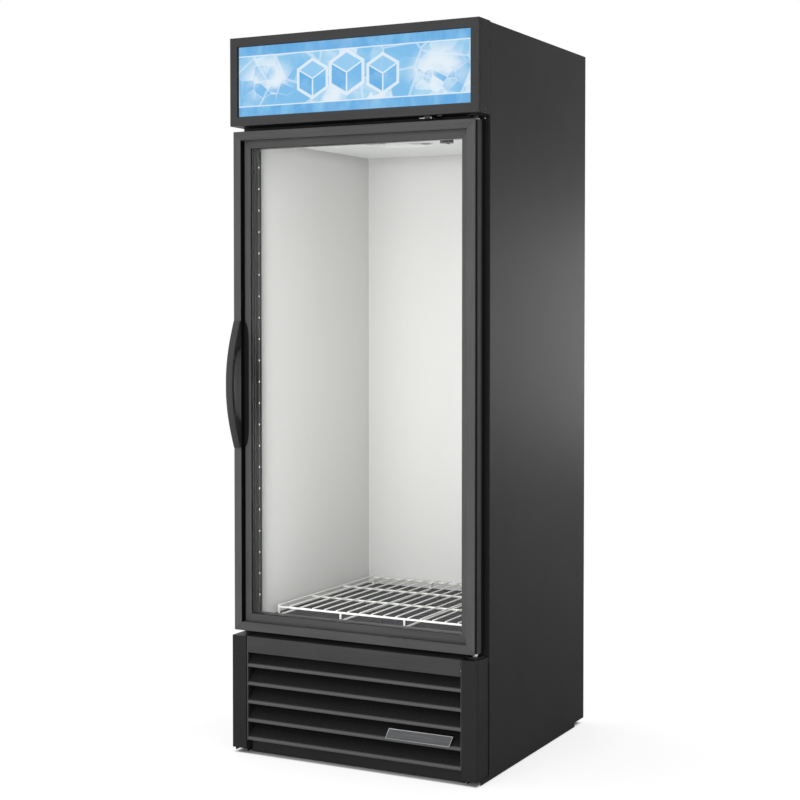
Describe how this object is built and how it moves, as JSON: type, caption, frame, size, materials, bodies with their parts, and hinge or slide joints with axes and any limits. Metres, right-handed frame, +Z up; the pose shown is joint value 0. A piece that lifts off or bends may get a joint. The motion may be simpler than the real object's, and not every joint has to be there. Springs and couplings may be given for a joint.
{
  "type": "ice merchandiser freezer",
  "caption": "Tall black one-door ice freezer with a glass swing door, a lit sign box, a bow handle, a wire floor rack and a louvred base over the refrigeration unit.",
  "frame": {"origin": "on the floor under the centre of the bounding box, door closed", "axes": "+X to the viewer's right, +Y to the back, +Z up; the door faces -Y"},
  "size_m": [0.762, 0.8076, 1.997],
  "materials": {
    "black_paint": "black powder coat with fine texture",
    "black_frame": "satin black coated extrusion",
    "black_plastic": "moulded black plastic",
    "white_liner": "white coated aluminium sheet",
    "foam": "rigid insulating foam",
    "dark_tray": "dark coated floor sheet",
    "white_wire": "white coated wire",
    "zinc_steel": "bright galvanised steel",
    "aluminium": "bare aluminium",
    "copper": "bare copper tube",
    "rubber": "soft black rubber",
    "glass": "clear tempered glass",
    "sign_face": "backlit translucent sheet with a pale blue ice pattern",
    "lamp_white": "white LED diffuser",
    "fan_plastic": "moulded grey plastic",
    "compressor_black": "gloss black enamel"
  },
  "bodies": {
    "cabinet": {"cabinet_wrap": "black_paint", "face_frame": "black_frame", "inner_liner": "white_liner", "insulation_foam": "foam", "back_panel": "zinc_steel", "rear_vent_cover": "zinc_steel", "cable_grommet": "rubber", "floor_tray": "dark_tray", "sign_bezel": "black_frame", "sign_lens": "sign_face", "sign_housing": "black_paint", "sign_light_bar": "lamp_white", "lock_body": "black_plastic", "hinge_bracket_top": "black_paint", "hinge_bracket_bottom": "black_paint", "corner_post_left": "black_paint", "corner_post_right": "black_paint", "louvred_grille": "black_paint", "badge_plate": "aluminium", "kick_plate": "black_paint", "base_rail_left": "black_paint", "base_rail_right": "black_paint", "levelling_foot_front_left": "black_plastic", "levelling_foot_back_left": "black_plastic", "levelling_foot_front_right": "black_plastic", "levelling_foot_back_right": "black_plastic", "machine_floor": "zinc_steel", "evaporator_cover": "white_liner", "evaporator_fan_motor": "zinc_steel", "evaporator_drip_tray": "aluminium", "evaporator_coil": "aluminium", "condenser_coil": "aluminium", "fan_shroud": "zinc_steel", "condenser_fan_motor": "zinc_steel", "compressor": "compressor_black", "condensate_pan": "aluminium", "control_box": "zinc_steel", "suction_pipe": "copper"},
    "door": {"door_left_stile": "black_frame", "door_right_stile": "black_frame", "door_top_rail": "black_frame", "door_bottom_rail": "black_frame", "door_glass_outer": "glass", "glass_spacer_outer": "black_plastic", "door_glass_middle": "glass", "glass_spacer_inner": "black_plastic", "door_glass_inner": "glass", "door_gasket": "rubber", "door_light_left": "lamp_white", "door_light_right": "lamp_white", "door_handle": "black_plastic", "hinge_bush_top": "zinc_steel", "hinge_bush_bottom": "zinc_steel", "closer_torsion_rod": "zinc_steel"},
    "rack": {"floor_rack": "white_wire"},
    "evaporator_fan": {"evaporator_fan_blade": "fan_plastic"},
    "condenser_fan": {"condenser_fan_blade": "fan_plastic"},
    "dial": {"temperature_dial": "black_plastic"},
    "rocker": {"light_switch": "black_plastic"},
    "lock": {"lock_plug": "zinc_steel"}
  },
  "joints": [
    {"name": "door_swing", "type": "hinge", "parent": "cabinet", "child": "door", "pos_m": [0.357, -0.32125, 1.042], "axis": [0, 0, 1], "range_deg": [0, 115], "stiffness_Nm_per_rad": 1.5, "springref_deg": -34.38},
    {"name": "rack_lift", "type": "slide", "parent": "cabinet", "child": "rack", "axis": [0, 0, 1], "range_m": [0, 0.25]},
    {"name": "evaporator_fan_spin", "type": "hinge", "parent": "cabinet", "child": "evaporator_fan", "pos_m": [0, -0.07575, 1.7525], "axis": [0, 0, -1], "continuous": true},
    {"name": "condenser_fan_spin", "type": "hinge", "parent": "cabinet", "child": "condenser_fan", "pos_m": [-0.095, -0.16065, 0.1324], "axis": [0, -1, 0], "continuous": true},
    {"name": "dial_turn", "type": "hinge", "parent": "cabinet", "child": "dial", "pos_m": [0.19, -0.14975, 1.7045], "axis": [0, 0, -1], "range_deg": [0, 270]},
    {"name": "rocker_tilt", "type": "hinge", "parent": "cabinet", "child": "rocker", "pos_m": [0.262, -0.33025, 1.7536], "axis": [1, 0, 0], "range_deg": [0, 12]},
    {"name": "lock_turn", "type": "hinge", "parent": "cabinet", "child": "lock", "pos_m": [0.2285, -0.34058, 1.74695], "axis": [-1, 0, 0], "range_deg": [0, 90]}
  ]
}
